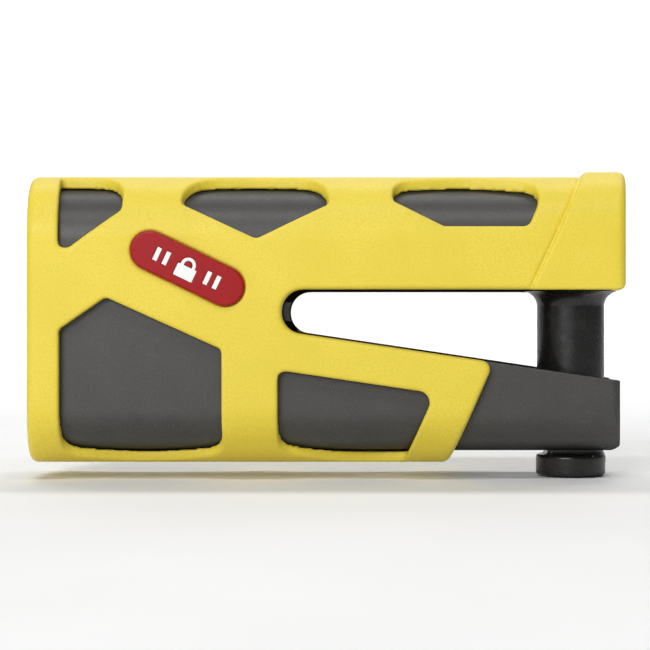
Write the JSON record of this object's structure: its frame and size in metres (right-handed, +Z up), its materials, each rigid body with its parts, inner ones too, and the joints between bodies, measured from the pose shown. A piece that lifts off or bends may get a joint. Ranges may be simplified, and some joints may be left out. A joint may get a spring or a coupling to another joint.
{
  "type": "disc brake lock",
  "caption": "C-shaped lock with a fixed bolt and a sliding keyed jaw that closes round the bolt's neck, in a web-pattern cover.",
  "frame": {"origin": "on the locking bolt's axis, about half way up the mouth", "axes": "+X along the body towards the nose, -Y the badge side, +Z up from the jaw to the upper arm"},
  "size_m": [0.1136, 0.0311, 0.0583],
  "materials": {
    "yellow_cover": "fine-grained matt yellow",
    "painted_body": "fine-textured graphite coating",
    "bolt_black": "glossy black, hardened",
    "badge_red": "glossy red",
    "badge_white": "glossy white",
    "rubber_black": "matt",
    "black_plastic": "matt black",
    "hard_steel": "ground",
    "plated_steel": "satin plate",
    "spring_steel": "drawn wire",
    "lock_brass": "machined"
  },
  "bodies": {
    "lock_body": {"lock_frame": "painted_body", "locking_bolt": "bolt_black", "bolt_cross_pin": "hard_steel", "front_cover": "yellow_cover", "rear_cover": "yellow_cover", "cover_screws": "hard_steel", "badge_plate": "badge_red", "badge_emblem": "badge_white", "throat_liner": "rubber_black", "wiper_seal": "rubber_black", "ejector_spring": "spring_steel"},
    "sled": {"sled_jaw": "painted_body", "front_guide_rail": "hard_steel", "rear_guide_rail": "hard_steel", "end_buffer": "rubber_black", "cylinder_barrel": "lock_brass", "cylinder_retaining_pin": "hard_steel", "barrel_cap_ring": "plated_steel", "spring_plug": "hard_steel", "spring_guide_rod": "hard_steel", "rear_end_plate": "black_plastic", "end_plate_screws": "hard_steel", "shutter_rivet": "plated_steel", "latch_spring": "spring_steel"},
    "key_plug": {"cylinder_plug": "lock_brass", "cylinder_sidebar": "hard_steel", "detainer_discs": "hard_steel", "spacer_discs": "lock_brass", "drill_guard_disc": "hard_steel", "cam_disc": "hard_steel", "plug_circlip": "spring_steel"},
    "latch": {"latch_bolt": "hard_steel"},
    "shutter": {"keyhole_shutter": "plated_steel"}
  },
  "joints": [
    {"name": "sled_slide", "type": "slide", "parent": "lock_body", "child": "sled", "axis": [-1, 0, 0], "range_m": [0, 0.025], "deforming": ["ejector_spring"]},
    {"name": "plug_turn", "type": "hinge", "parent": "sled", "child": "key_plug", "pos_m": [-0.087, 0, -0.004], "axis": [1, 0, 0], "range_deg": [0, 90]},
    {"name": "latch_rise", "type": "slide", "parent": "sled", "child": "latch", "axis": [0, 0, 1], "range_m": [0, 0.00425], "deforming": ["latch_spring"]},
    {"name": "shutter_swing", "type": "hinge", "parent": "sled", "child": "shutter", "pos_m": [-0.10135, 0, 0.0042], "axis": [1, 0, 0], "range_deg": [0, 55]}
  ],
  "couplings": [
    {"joint": "latch_rise", "follows": "plug_turn", "m_per_rad": 0.0027}
  ]
}
